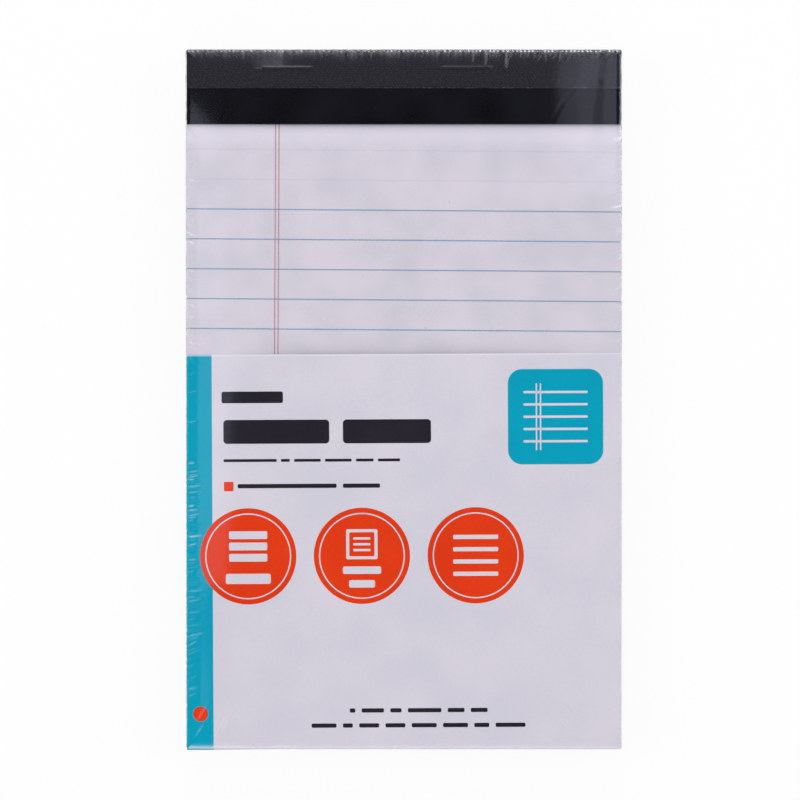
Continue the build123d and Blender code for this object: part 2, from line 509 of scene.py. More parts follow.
def ruledPaper():
    material, tree = newMaterial("ruledPaper")
    spot = place(tree)
    axis = axesOf(tree, spot)
    grain, colour = paperTone(tree, spot, leafLook["fibre"], leafLook["paper"], leafLook["paperCloud"])
    stripEdge = topPadLine(pack["padLength"] - pack["headerLength"], blockHeight)
    below = minus(tree, stripEdge, axis["Y"])
    # painted light: the paper just below the strip is painted paler, fading out over a few millimetres
    pale = remap(tree, below, *leafLook["paintedLightBand"], "SMOOTHSTEP")
    colour = blendColour(tree, pale, colour, leafLook["paperPaintedLight"])

    # how far a point is from the nearest rule: the tilted y, folded into one pitch
    pitch = leafLook["rulePitch"]
    lowered = times(tree, plus(tree, axis["X"], pack["padWidth"] / 2), leafLook["ruleSlope"])
    level = minus(tree, minus(tree, axis["Y"], lowered), leafLook["ruleAtLeft"] - pitch / 2)
    folded = minus(tree, maths(tree, "FLOORED_MODULO", level, pitch), pitch / 2)
    spread = times(tree, grain, 0.1)
    away = minus(tree, maths(tree, "ABSOLUTE", folded), spread)
    line = inkLine(tree, away, leafLook["ruleHalf"], 1.0)
    high = leafLook["faintAbove"]
    faint = remap(tree, axis["Y"], high, high + 0.5, leafLook["ruleShare"], leafLook["faintShare"])
    upward = axesOf(tree, put(tree, "NewGeometry").outputs["Normal"])["Z"]
    face = maths(tree, "GREATER_THAN", maths(tree, "ABSOLUTE", upward), 0.5)
    fibrous = plus(tree, times(tree, grain, 0.5), 0.74)
    inked = times(tree, face, fibrous)
    line = times(tree, times(tree, line, faint), inked)
    colour = blendColour(tree, line, colour, leafLook["ruleInk"])

    # the double margin line runs down the sheet, a little aslant
    slanted = times(tree, minus(tree, axis["Y"], leafLook["marginFrom"]), leafLook["marginSlope"])
    away = minus(tree, minus(tree, axis["X"], slanted), leafLook["marginLeft"])
    for _ in range(2):
        away = maths(tree, "ABSOLUTE", minus(tree, away, leafLook["marginGap"] / 2))
    pair = inkLine(tree, minus(tree, away, spread), leafLook["marginHalf"], leafLook["marginShare"])
    colour = blendColour(tree, times(tree, pair, inked), colour, leafLook["marginInk"])

    # shade in the corners along the strip's edge and along the card's edge, fading with distance;
    # the card lies closer at both ends of its edge
    above = beyondCard(tree, axis)
    shades = []
    for away, (most, reach) in ((below, leafLook["stripShade"]), (above, leafLook["cardShade"])):
        fall = maths(tree, "DIVIDE", maths(tree, "MAXIMUM", away, 0.0), -reach)
        shades.append(times(tree, maths(tree, "EXPONENT", fall), most))
    leftShare = remap(tree, axis["X"], *leafLook["stripShadeAcross"])
    midShare = remap(tree, maths(tree, "ABSOLUTE", axis["X"]), *leafLook["cardShadeAcross"])
    shade = plus(tree, times(tree, shades[0], leftShare), times(tree, shades[1], midShare))
    colour = blendColour(tree, times(tree, shade, face), colour, leafLook["shadeTone"])

    # on the cut edges every leaf has its own tone
    edge = times(tree, minus(tree, 1.0, face), attributeOf(tree, "leafTone"))
    colour = blendColour(tree, edge, colour, leafLook["edgeDark"])
    colour = speckled(tree, spot, colour, leafLook["dust"])
    bump = bumpOf(tree, grain, 0.4, 0.02)
    finishSolid(tree, {"Base Color": colour, "Roughness": 0.86,
                       "Specular IOR Level": 0.25, "Normal": bump})
    return material


def makeLeaves(index, material, count):
    # each leaf is a rectangle's rim, moved in or out by a small wave of its own and given its
    # thickness: the lower rim at leaf * pitch, the upper one a leaf's thickness above
    rng = np.random.default_rng(leafLook["seed"] + index)
    steps = leafLook["sideSteps"]
    half, length = pack["padWidth"] / 2, leafLength
    t = np.arange(steps) / steps
    along = np.concatenate([t * 2 - 1, np.ones(steps), 1 - t * 2, -np.ones(steps)])
    up = np.concatenate([np.zeros(steps), t, np.ones(steps), 1 - t])
    outX = np.concatenate([np.zeros(steps), np.ones(steps), np.zeros(steps), -np.ones(steps)])
    outY = np.concatenate([-np.ones(steps), np.zeros(3 * steps)])
    free = 1 - smooth(0.86, 0.9, up)       # the bound head is cut flush
    leaf = np.arange(count)[:, None]
    shiftX = rng.normal(0, leafLook["shift"], (count, 1))
    shiftY = rng.normal(0, leafLook["shift"], (count, 1))
    phase = rng.uniform(0, 2 * math.pi, (count, 1))
    wave = leafLook["cutWave"] * np.sin(6 * math.pi * up + 3 * along + phase + 0.12 * leaf)
    x = along * half + (shiftX + wave * outX) * free
    y = up * length + (shiftY + wave * np.abs(outY)) * free
    low = pack["boardThickness"] + leaf * pack["leafThickness"]
    thick = pack["leafThickness"] * leafLook["thickShare"]
    rim = np.stack([np.stack([x, y, np.broadcast_to(low, x.shape)], -1),
                    np.stack([x, y, np.broadcast_to(low + thick, x.shape)], -1)], 1)
    number = 4 * steps
    ring, after = ringPair(number)
    faces = []
    for k in range(count):
        base = 2 * k * number
        faces += np.stack([base + ring, base + after, base + number + after,
                           base + number + ring], -1).tolist()
        faces.append((base + ring[::-1]).tolist())
        faces.append((base + number + ring).tolist())
    name = pack["padNames"][index] + "_leaves"
    piece = addPiece(name, onPad(index, rim), faces, material, sharp=30)
    tone = np.repeat(np.clip(rng.normal(0.3, 0.28, count), 0, 0.9), number + 2)
    addValues(piece, "leafTone", "FACE", tone)
    return piece


# Top leaf: it shows between the header and the card, and lies a little unevenly
topLeafLook = {
    "seed": 5,
    "columns": 160,
    "rows": 200,
    "lift": 0.06,
    "waveLength": 34.0,
}


def makeTopLeaf(material):
    # height over the flat leaf = a slow wave, faded out under the card and the header
    rng = np.random.default_rng(topLeafLook["seed"])
    half, length = pack["padWidth"] / 2, leafLength
    x = np.linspace(-half, half, topLeafLook["columns"])[None, :]
    y = np.linspace(0, length, topLeafLook["rows"])[:, None]
    shown = smooth(pack["cardFront"] - 2, pack["cardFront"] + 9, y)
    shown = shown * (1 - smooth(length - pack["headerLength"] - 7, length - pack["headerLength"], y))
    height = topLeafLook["lift"] * (waves(rng, x, y, topLeafLook["waveLength"]) + 1) * shown
    low = blockHeight - pack["leafThickness"]
    lower = np.stack(np.broadcast_arrays(x, y, low + 0.005 + height), -1)
    upper = lower + np.array([0, 0, pack["leafThickness"] - 0.01])
    points, faces = thinSheet(upper, lower)
    piece = addPiece("top_leaf", onPad(2, points), faces, material)
    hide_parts("top_pad_sheets")


paperMaterial = ruledPaper()
for padIndex, padName in enumerate(pack["padNames"]):
    leafTotal = pack["leafCount"] - (1 if padName == "top_pad" else 0)
    leaves = makeLeaves(padIndex, paperMaterial, leafTotal)
    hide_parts(padName + "_sheets")
makeTopLeaf(paperMaterial)
print("stage: leaves laid")


# Boards, header strips, binding tapes and staples keep their solids and get their finish
boardLook = {
    "pale": srgb(160, 146, 132),
    "dark": srgb(112, 100, 90),
    "fleck": (srgb(84, 74, 66), 1.0, 1.6, 0.2, 0.13),
}
stripLook = {
    "black": srgb(7, 7, 12),
    "worn": srgb(20, 21, 28),
    "fibre": (2.2, 0.07, 0.15),
    "dust": (srgb(90, 88, 92), 0.5, 0.7, 0.16, 0.06),
}
tapeLook = {
    "thread": srgb(48, 48, 56),
    "shadow": srgb(15, 15, 22),
    "lint": (srgb(120, 120, 132), 0.35, 1.5, 0.12, 0.14),
    "pick": 0.93,            # pitch of the weave's knots across the tape, and along it
    "course": 0.72,
    "paleEdgeHalf": 0.2,        # pale marks at the cut edge: half width, and shares across the pad
    "paleEdgeAcross": (-25.0, 40.0, 0.04, 0.4),
}
wireLook = {"steel": srgb(196, 196, 200)}


def chipboard():
    material, tree = newMaterial("chipboard")
    spot = place(tree)
    fibre = noise(tree, stretched(tree, spot, (1.0, 0.35, 5.0)), 2.6, 6.0, 0.65)
    colour = blendColour(tree, fibre, boardLook["dark"], boardLook["pale"])
    colour = speckled(tree, spot, colour, boardLook["fleck"])
    bump = bumpOf(tree, fibre, 0.8, 0.03)
    finishSolid(tree, {"Base Color": colour, "Roughness": 0.9,
                       "Specular IOR Level": 0.2, "Normal": bump})
    return material


def blackStrip():
    # coated black paper: a slow change of tone, a fine orange-peel bump and pale dust
    material, tree = newMaterial("blackStrip")
    spot = place(tree)
    grain, colour = paperTone(tree, spot, stripLook["fibre"], stripLook["black"], stripLook["worn"])
    colour = speckled(tree, spot, colour, stripLook["dust"])
    roughness = plus(tree, times(tree, grain, 0.1), 0.13)
    bump = bumpOf(tree, grain, 0.5, 0.012)
    finishSolid(tree, {"Base Color": colour, "Roughness": roughness,
                       "Specular IOR Level": 0.12, "Normal": bump})
    return material


def bindingCloth():
    # cloth grain: a stretched noise for the threads, and the knots of the weave as the product of
    # two sines, one across the tape and one aslant
    material, tree = newMaterial("bindingCloth")
    spot = place(tree)
    axis = axesOf(tree, spot)
    threads = noise(tree, stretched(tree, spot, (1.5, 2.6, 2.6)), 1.0, 2.0, 0.6)
    threads = remap(tree, threads, 0.34, 0.66)
    run = plus(tree, axis["Y"], axis["Z"])
    diagonal = plus(tree, axis["X"], times(tree, run, 0.6))
    pick = maths(tree, "SINE", times(tree, diagonal, math.pi / tapeLook["pick"]))
    course = maths(tree, "SINE", times(tree, run, math.pi / tapeLook["course"]))
    knot = maths(tree, "ABSOLUTE", times(tree, pick, course))
    height = plus(tree, times(tree, threads, 0.6), times(tree, knot, 0.4))
    colour = blendColour(tree, height, tapeLook["shadow"], tapeLook["thread"])
    colour = speckled(tree, spot, colour, tapeLook["lint"])
    # pale marks along the tape's cut edge on the strip, where the thread noise is high
    cutEdge = topPadLine(pack["padLength"] - pack["tapeFront"], tapeTop)
    away = maths(tree, "ABSOLUTE", minus(tree, axis["Y"], cutEdge))
    beside = maths(tree, "LESS_THAN", away, tapeLook["paleEdgeHalf"])
    paleEdge = times(tree, beside, maths(tree, "GREATER_THAN", threads, 0.7))
    fading = remap(tree, axis["X"], *tapeLook["paleEdgeAcross"])
    colour = blendColour(tree, times(tree, paleEdge, fading), colour, tapeLook["lint"][0])
    bump = bumpOf(tree, height, 0.9, 0.06)
    finishSolid(tree, {"Base Color": colour, "Roughness": 0.8,
                       "Specular IOR Level": 0.15, "Normal": bump})
    return material


def stapleWire():
    material, tree = newMaterial("stapleWire")
    spot = place(tree)
    drawn = noise(tree, stretched(tree, spot, (1.5, 14.0, 14.0)), 5.0, 3.0)
    roughness = plus(tree, times(tree, drawn, 0.25), 0.2)
    bump = bumpOf(tree, drawn, 0.5, 0.01)
    finishSolid(tree, {"Base Color": wireLook["steel"], "Metallic": 1.0,
                       "Roughness": roughness, "Normal": bump})
    return material


def dressNode(node, material):
    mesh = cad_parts[node].data
    mesh.materials.clear()
    mesh.materials.append(material)


boardMaterial, stripMaterial = chipboard(), blackStrip()
tapeMaterial, wireMaterial = bindingCloth(), stapleWire()
for padName in pack["padNames"]:
    dressNode(padName + "_board", boardMaterial)
    dressNode(padName + "_header", stripMaterial)
    dressNode(padName + "_tape", tapeMaterial)
    dressNode(padName + "_staple_left", wireMaterial)
    dressNode(padName + "_staple_right", wireMaterial)
print("stage: boards, strips, tapes and staples finished")


# Label card: one sheet folded round the foot
cardLook = {
    "seed": 21,
    "columns": 150,
    "frontRows": 150,
    "backRows": 60,
    "foldRows": 12,
    "wave": 0.02,
    "waveLength": 46.0,
    "waveFade": (-100.0, -88.0),        # the wave fades in from the foot between these
    "panelLevels": (9.0, 11.0),         # the back panel lies below these heights, the front above
    "footBow": (0.3, -63.7, 24.0),      # the foot bulges at the left: how far, its place and reach
    "fibre": (1.7, 0.06, 0.12),
    "stock": srgb(220, 215, 224),
    "stockCloud": srgb(212, 210, 220),
    # painted highlight along the front panel's cut end: its colour, width and share
    "paintedEdgeHighlight": srgb(240, 237, 246),
    "paintedEdgeHighlightWidth": 0.4,
    "paintedEdgeHighlightShare": 0.45,
    "core": srgb(196, 188, 184),
}


def coatedInk(name, paint, cloud):
    # coated stock or one printed ink: felted fibre under the coating and a slow change of tone
    material, tree = newMaterial(name)
    spot = place(tree)
    grain, colour = paperTone(tree, spot, cardLook["fibre"], paint, cloud)
    # along the front panel's end a pale line is painted: a painted highlight where the cut edge
    # catches the light
    atEnd = maths(tree, "GREATER_THAN", beyondCard(tree, axesOf(tree, spot)), -cardLook["paintedEdgeHighlightWidth"])
    paintedEdgeHighlight = times(tree, atEnd, cardLook["paintedEdgeHighlightShare"])
    colour = blendColour(tree, paintedEdgeHighlight, colour, cardLook["paintedEdgeHighlight"])
    # the cut edges show the card's grey core
    colour = blendColour(tree, attributeOf(tree, "cutEdge"), colour, cardLook["core"])
    roughness = plus(tree, times(tree, grain, 0.16), 0.24)
    finishSolid(tree, {"Base Color": colour, "Roughness": roughness, "Specular IOR Level": 0.08})
    return material


def levelOn(index, local, y):
    # height in the pack of a level of one leaning pad, above the plan distance y
    foot, base, lean = padFrame(index)
    return base + (y - foot) * math.tan(lean) + local / math.cos(lean)


topLeanEnd = topPadLine(0, blockHeight)
cardFoot = min(topLeanEnd, footCorner.y) - pack["foldRadius"]


def cardSide(x, inward):
    # the card's side view at every x: back panel, lower bend, foot, upper bend, front panel.
    # inward moves the whole line towards the pads, so 0 is the outside and 1 the inside
    thick = pack["cardThickness"] * (1 - inward)
    lowIn, fold = footCorner.z, pack["foldRadius"]
    radius = fold + thick
    bulge, middle, reach = cardLook["footBow"]
    bow = bulge * np.exp(-((x - middle) / reach) ** 2)
    foot = cardFoot - bow
    bend = foot + fold
    quarter = np.linspace(0, math.pi / 2, cardLook["foldRows"])
    topLevel = levelOn(2, blockHeight, bend)
    ends = pack["cardBack"] + footCorner.y
    rows = []
    for t in np.linspace(0, 1, cardLook["backRows"])[:-1]:
        rows.append((ends + (bend - ends) * t, np.full_like(x, lowIn - thick)))
    for turn in quarter:
        rows.append((bend - radius * math.sin(turn), lowIn + fold - radius * math.cos(turn) + 0 * x))
    for turn in quarter:
        rows.append((bend - radius * math.cos(turn), topLevel - fold + radius * math.sin(turn)))
    end = (padFrame(2)[0] + pack["cardFront"] * math.cos(padFrame(2)[2])
           + x * cardSlope)
    for t in np.linspace(0, 1, cardLook["frontRows"])[1:]:
        y = bend + (end - bend) * t
        rows.append((y, levelOn(2, blockHeight, y) + thick))
    y = np.array([row[0] for row in rows])
    z = np.array([row[1] for row in rows])
    return y, z


def frontLift(x, y):
    # the front panel's slow wave, faded out at the foot
    rng = np.random.default_rng(cardLook["seed"])
    wave = waves(rng, x, y, cardLook["waveLength"]) + 1
    return cardLook["wave"] * wave * smooth(*cardLook["waveFade"], y)


def frontShare(z):
    # 1 on the front panel, 0 on the back one
    return smooth(*cardLook["panelLevels"], z)


def makeCard(material):
    x = np.linspace(-pack["cardWidth"] / 2, pack["cardWidth"] / 2, cardLook["columns"])
    grids = []
    for inward in (0, 1):
        y, z = cardSide(x, inward)
        lift = frontLift(x[None, :], y) + 0.01 * inward
        grids.append(np.stack(np.broadcast_arrays(x[None, :], y, z + lift * frontShare(z)), -1))
    rows, columns = grids[0].shape[:2]
    points, faces = thinSheet(grids[0], grids[1])
    piece = addPiece("card_sheet", points, faces, material, sharp=50)
    cut = np.zeros(len(piece.data.polygons))
    cut[2 * (rows - 1) * (columns - 1):] = 1.0
    addValues(piece, "cutEdge", "FACE", cut)
    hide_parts("label_card")


def cardHeight(x, y):
    # the front panel's outer surface
    return levelOn(2, blockHeight, y) + pack["cardThickness"] + frontLift(x, y)


def roundBoxRim(halfX, halfY, corner):
    # the rim of a rounded box, anticlockwise from the lower right: a quarter circle at each corner
    quarter = np.radians(np.linspace(0, 90, 17))
    turns = np.concatenate([quarter + math.radians(heading) for heading in (0, 90, 180, 270)])
    signX = np.repeat([1, -1, -1, 1], 17)
    signY = np.repeat([1, 1, -1, -1], 17)
    rimX = signX * (halfX - corner) + corner * np.cos(turns)
    rimY = signY * (halfY - corner) + corner * np.sin(turns)
    return rimX, rimY


def printLayer(name, material, shapes):
    # each shape is a thin slab: copies of its rim, shrunk from the outside to its open share,
    # are laid on the card, and the same copies sunk a little below close it
    turn = math.radians(printLook["turn"])
    points, faces, start = [], [], 0
    for (x, y, halfX, halfY, corner, inner, layer) in shapes:
        rimX, rimY = roundBoxRim(halfX, halfY, corner)
        share = np.linspace(inner, 1, 3)[:, None] if inner else np.linspace(0.15, 1, 8)[:, None]
        px, py = x + rimX * share, y + rimY * share
        px, py = px * math.cos(turn) - py * math.sin(turn), px * math.sin(turn) + py * math.cos(turn)
        top = np.stack([px, py, cardHeight(px, py) + printLook["layer"] * layer], -1)
        low = top - np.array([0, 0, printLook["layer"] * layer + 0.02])
        rows, columns = px.shape
        count = rows * columns
        quads = gridQuads(rows, columns, closed=True)
        ring, after = ringPair(columns)
        outside = (rows - 1) * columns + np.stack([ring, ring + count, after + count, after], -1)
        parts = [quads[:, ::-1], quads + count, outside]
        if inner:
            parts.append(np.stack([after, after + count, ring + count, ring], -1))
        faces += (np.concatenate(parts) + start).tolist()
        if not inner:
            faces += [(ring + start).tolist(), (ring[::-1] + count + start).tolist()]
        points += [top.reshape(-1, 3), low.reshape(-1, 3)]
        start += 2 * count
    addPiece(name, np.concatenate(points), faces, material, sharp=50)


def wordBars(left, right, y, half, lengths):
    # a line of plain bars, as long as the words of a line would be, with even gaps
    gap = 3.0 * half
    unit = (right - left - gap * (len(lengths) - 1)) / sum(lengths)
    ends = left + np.cumsum([length * unit + gap for length in lengths]) - gap
    return [(end - length * unit / 2, y, length * unit / 2, half, half * 0.6, 0, 1)
            for end, length in zip(ends, lengths)]


# Print on the card, in the print's own frame, which is turned a little against the pads.
# Each shape: centre x, y, half width, half height, corner radius, open share, layer
printLook = {
    "turn": 0.27,
    "layer": 0.006,
    "stripeEdge": -56.22,
    "stripeMiddle": -56.2,
    "square": (44.37, -5.35),
    "squareHalf": 13.95,
    "squareCorner": 4.2,
    "discs": (-45.81, -12.51, 20.82),
    "discY": -45.86,
    "discRadius": 14.1,
    "ringRadius": 12.6,
    "ringOpen": 0.971,
    "teal": (srgb(0, 163, 190), srgb(0, 158, 187)),
    "orange": (srgb(232, 62, 18), srgb(225, 57, 16)),
    "dark": (srgb(40, 37, 44), srgb(34, 32, 39)),
    "marks": ((-51.4, -25.4, 1.4, 1.4, 0.35, 0, 1), (-60.0, -92.0, 2.2, 2.2, 2.2, 0, 2)),
    "bars": ((-44.4, 0.7, 9.0, 1.7, 0.6, 0, 1), (-37.4, -9.4, 15.5, 3.5, 1.1, 0, 1),
             (-5.0, -9.4, 12.9, 3.5, 1.1, 0, 1)),
    # lines of bars: left, right, y, half height and the share of each bar
    "lines": ((-52.9, -1.2, -17.8, 0.42, (12, 2, 6, 6, 4, 5)), (-48.8, -7.1, -25.3, 0.62, (16, 6)),
              (-16.3, 24.1, -91.2, 0.62, (1, 4, 2, 6, 3, 3)),
              (-27.5, 35.2, -95.6, 0.62, (5, 2, 4, 4, 5, 5, 3, 6))),
}


def discSigns():
    # three pads in a pile, a pile of sheets, and a widely ruled sheet
    first, second, third = printLook["discs"]
    y = printLook["discY"]
    ring = printLook["ringRadius"]
    signs = [(x, y, ring, ring, ring, printLook["ringOpen"], 3) for x in printLook["discs"]]
    signs += [(first, y + 6.2 - 3.3 * k, 5.6, 1.15, 0.45, 0, 3) for k in range(3)]
    signs += [(first, y - 6.6, 6.6, 1.5, 0.6, 0, 3)]
    signs += [(second, y + 3.4, 4.6, 4.4, 0.5, 0.8, 3), (second, y + 3.4, 2.5, 0.35, 0.2, 0, 3)]
    signs += [(second, y + 3.4 + 1.7 * k, 2.5, 0.35, 0.2, 0, 3) for k in (-1, 1)]
    signs += [(second, y - 4.2, 5.6, 1.1, 0.5, 0, 3), (second, y - 8.2, 3.8, 1.1, 0.5, 0, 3)]
    signs += [(third, y + 5.4 - 3.6 * k, 6.6, 0.62, 0.3, 0, 3) for k in range(4)]
    return signs


def makePrint():
    inks = [coatedInk(name + "Ink", *printLook[name]) for name in ("teal", "orange", "dark")]
    teal, orange, dark = inks
    white = coatedInk("openStock", cardLook["stock"], cardLook["stockCloud"])
    x, y = printLook["square"]
    radius = printLook["discRadius"]
    half = printLook["squareHalf"]
    printLayer("print_square", teal, [(x, y, half, half, printLook["squareCorner"], 0, 1)])
    discs = [(disc, printLook["discY"], radius, radius, radius, 0, 2) for disc in printLook["discs"]]
    printLayer("print_discs", orange, discs + list(printLook["marks"]))
    bars = list(printLook["bars"])
    for line in printLook["lines"]:
        bars += wordBars(*line)
    printLayer("print_bars", dark, bars)

    # the square holds a sheet's rules and its double margin line
    signs = [(x, y + 7.2 - 3.6 * k, 9.4, 0.34, 0.2, 0, 2) for k in range(5)]
    signs += [(x - 5.0 + side, y, 0.2, 9.8, 0.15, 0, 2) for side in (-0.6, 0.6)]
    printLayer("print_signs", white, signs + discSigns())

    # the stripe follows the card round the fold, from its side edge to a slightly slanting line
    left = -pack["cardWidth"] / 2
    yMiddle, _ = cardSide(np.array([left]), 0)
    edge = printLook["stripeEdge"] - math.tan(math.radians(printLook["turn"])) * yMiddle
    share = np.linspace(0, 1, 9)[None, :]
    x = left - 0.004 + (edge - left) * share
    grids = []
    for outward in (printLook["layer"], -0.02):
        flatX = left + (printLook["stripeMiddle"] - left) * share[0]
        y, z = cardSide(flatX, -outward / pack["cardThickness"])
        grids.append(np.stack([x, y, z + frontLift(x, y) * frontShare(z)], -1))
    points, faces = thinSheet(*grids)
    addPiece("print_stripe", points, faces, teal, sharp=50)


stockMaterial = coatedInk("printedCard", cardLook["stock"], cardLook["stockCloud"])
makeCard(stockMaterial)
makePrint()
print("stage: card folded and printed")


# Shrink film: a closed skin round the pack, drawn tight and wrinkled along its edges
filmLook = {
    "seed": 3,
    "halfWidth": 63.8,
    "cornerRadius": 0.9,
    "edgeRadius": 0.32,
    "footExtra": 0.48,
    "tapeExtra": 0.4,
    # distances of the rings inside the bend; up to the last fine one they have all their points
    "insets": (0.25, 0.5, 0.8, 1.15, 1.55, 2.0, 2.5, 3.1, 3.8,
               4.4, 4.8, 5.15, 5.6, 6.3, 7.4, 9.0, 11.5, 15.0),
    "fineInsets": 9,
    "innerRings": 4,
    "edgeRings": 3,
    "wallRings": 5,
    "backRings": 3,
    "sideSteps": 990,
    "endSteps": 620,
    "cornerSteps": 6,
    "clear": 0.02,
    "slopeFrom": 24.0,
    "slopeDrop": 0.36,
    "leftRise": 0.08,
    "headFall": 0.004,
    "paintedReflection": (-38.4, 97.1, 4.4, 0.036),   # painted reflection beside the left staple: x, y, half width, strength
    "marginLeft": (4.4, 0.08),       # raised margin: width and rise, and the same beside the strip
    "marginHead": (1.3, 0.03),
    "marginRight": (2.0, 0.07),
    "dotPitch": 1.3,                 # weld dots along the head, and their number
    "dotCount": 110,
    "dot": (0.26, 0.2, 0.2),         # half width, distance inside the bend and half depth
    "uneven": (0.014, 34.0),         # slow waves of the whole skin: height and length
    "crumple": 0.035,
    "bandHazeAndReflection": 0.16,                # haze below the weld, partly real crumpling and partly painted reflection of the head's bend, and how much of it is streaks
    "bandStreaks": 0.38,
    "bandDepth": (0.8, 0.2, 7.0),    # its mean depth, and the height and length of a slow change
    "paintedReflectionStreaks": 0.22,
    "footHighlight": (0.42, 0.3),         # painted highlight at the foot's bend: share and reach
    "ridge": (0.07, 0.5, 1.5),       # the crowns' ridge: height, half width, and fade at its ends
    "wallPush": 0.10,
    "mirror": 0.06,
    "roughness": 0.04,
    "tint": srgb(253, 253, 254),
    # white of the film's haze, which also paints its highlights and reflections
    "hazeAndHighlight": srgb(248, 245, 255),
}


def ringPlan():
    # one point list round a rounded rectangle: which corner centre it belongs to and its own
    # outward direction, so that any half sizes and corner radius give the ring
    side, end, corner = filmLook["sideSteps"], filmLook["endSteps"], filmLook["cornerSteps"]
    ax, ay, cx, cy = [], [], [], []
    turns = [(1, -1, 1, 1, 0), (1, 1, -1, 1, 90), (-1, 1, -1, -1, 180), (-1, -1, 1, -1, 270)]
    for x0, y0, x1, y1, heading in turns:
        count = side if heading in (0, 180) else end
        t = np.arange(count) / count
        ax.append(x0 + (x1 - x0) * t)
        ay.append(y0 + (y1 - y0) * t)
        cx.append(np.full(count, math.cos(math.radians(heading))))
        cy.append(np.full(count, math.sin(math.radians(heading))))
        bend = np.radians(heading + 90 * np.arange(corner) / corner)
        ax.append(np.full(corner, float(x1)))
        ay.append(np.full(corner, float(y1)))
        cx.append(np.cos(bend))
        cy.append(np.sin(bend))
    return [np.concatenate(part) for part in (ax, ay, cx, cy)]


filmFoot = cardFoot - pack["cardThickness"] - 0.03
filmHead = footCorner.y + pack["padLength"] + pack["tapeThickness"] + 0.12


def filmLevel(x, y):
    # height of the taut film: flat on the card, straight up to the line of the ribs and level
    # from there to the head; towards the right edge that line comes down on to the tape
    local = y - padFrame(2)[0]
    onCard = blockHeight + pack["cardThickness"] + 0.03 + cardLook["wave"] * 2.2
    cardEnd = pack["cardFront"] + 0.3
    crest = tapeTop + pack["ribHeight"] + 0.06
    start = filmLook["slopeFrom"]
    span = filmLook["halfWidth"] - start
    line = (crest - filmLook["slopeDrop"] * np.clip((x - start) / span, 0, 1)
            + filmLook["leftRise"] * np.clip((-x - start) / span, 0, 1))
    share = np.clip((local - cardEnd) / (ribY - cardEnd), 0, 1)
    level = onCard + (line - onCard) * share
    beyond = np.clip(local - ribY, 0, None)
    level = level - filmLook["headFall"] * beyond ** 2
    byStrip = smooth(74, 80, y)
    for towards, (margin, rise), share in ((-1, filmLook["marginLeft"], 1 - byStrip),
                                           (-1, filmLook["marginHead"], byStrip),
                                           (1, filmLook["marginRight"], 1)):
        rim = np.clip((towards * x - filmLook["halfWidth"] + margin) / margin, 0, 1)
        level = level + rise * rim * rim * share
    tall, narrow, fade = filmLook["ridge"]
    for spot in pack["staplePlaces"]:
        beside = np.maximum(np.abs(x - spot) - pack["crownWidth"] / 2, 0)
        level = level + tall * np.exp(-(beside / fade) ** 2 - ((local - ribY) / narrow) ** 2)
    return levelOn(2, level, y)


# Zones of wrinkles along the rim: side (0 right, 1 head, 2 left, 3 foot), from, to, how many, and
# their mean slant, reach, height and the strength of the painted highlight along their crests
wrinkleZones = (
    (0, 44, 80, 34, -0.34, 2.7, 0.01, 1.3),
    (0, 16, 44, 20, -0.3, 2.2, 0.01, 0.9),
    (0, -98, 16, 60, -0.2, 1.5, 0.03, 0.15),
    (2, -70, -18, 56, 0.14, 4.2, 0.06, 0.7),
    (2, -88, -70, 14, 0.4, 3.6, 0.06, 0.4),
    (2, 12, 80, 64, -0.42, 2.4, 0.01, 0.9),
    (2, -18, 12, 14, 0.3, 3.0, 0.04, 0.3),
    (1, -62, 62, 90, 0.0, 2.6, 0.08, 0.1),
    (3, -62, 62, 46, 0.0, 2.2, 0.04, 0.12),
)


def wrinkleList(rng):
    # every wrinkle of every zone: side, place on the rim, slant, reach, width, height, painted
    # highlight
    wrinkles = []
    for side, low, high, count, slant, reach, tall, hazeAndHighlight in wrinkleZones:
        for k in range(count):
            wrinkles.append((side, low + (high - low) * (k + rng.uniform(0, 1)) / count,
                             slant * rng.uniform(0.4, 1.5), reach * rng.uniform(0.4, 1.2),
                             rng.uniform(0.18, 0.3), tall * rng.uniform(0.3, 1.5),
                             hazeAndHighlight * (0.06 + 0.94 * rng.uniform(0, 1) ** 5)))
    return wrinkles


# Long creases of the taut film: from (x, y) to (x, y), half width, height and painted highlight
filmCreases = (
    ((-55.0, -98.0), (-51.7, -91.4), 0.24, 0.0, 0.14),
    ((-53.2, -97.4), (-50.6, -92.4), 0.22, 0.0, 0.10),
    ((-60.8, -98.4), (-58.8, -95.4), 0.2, 0.01, 0.12),
    ((-60.4, -94.0), (-57.8, -90.0), 0.22, 0.01, 0.09),
    ((45.0, -100.0), (50.0, -88.0), 0.4, 0.0, 0.06),
    ((57.8, 103.0), (55.6, 91.5), 2.1, -0.028, 0),
    ((56.0, 93.0), (54.6, 76.0), 2.0, -0.023, 0),
    ((50.0, 92.0), (48.4, 76.0), 0.9, -0.007, 0),
    ((23.9, 102.0), (23.7, 97.6), 0.28, 0.10, 0.06),
    ((30.0, 102.0), (29.7, 97.0), 0.28, 0.10, 0.10),
    ((20.2, 102.0), (20.0, 98.4), 0.28, 0.07, 0.05),
    ((-41.0, 97.1), (-26.5, 97.2), 0.2, 0.0, 0.09),
    ((11.0, 97.2), (24.0, 97.3), 0.2, 0.0, 0.05),
)


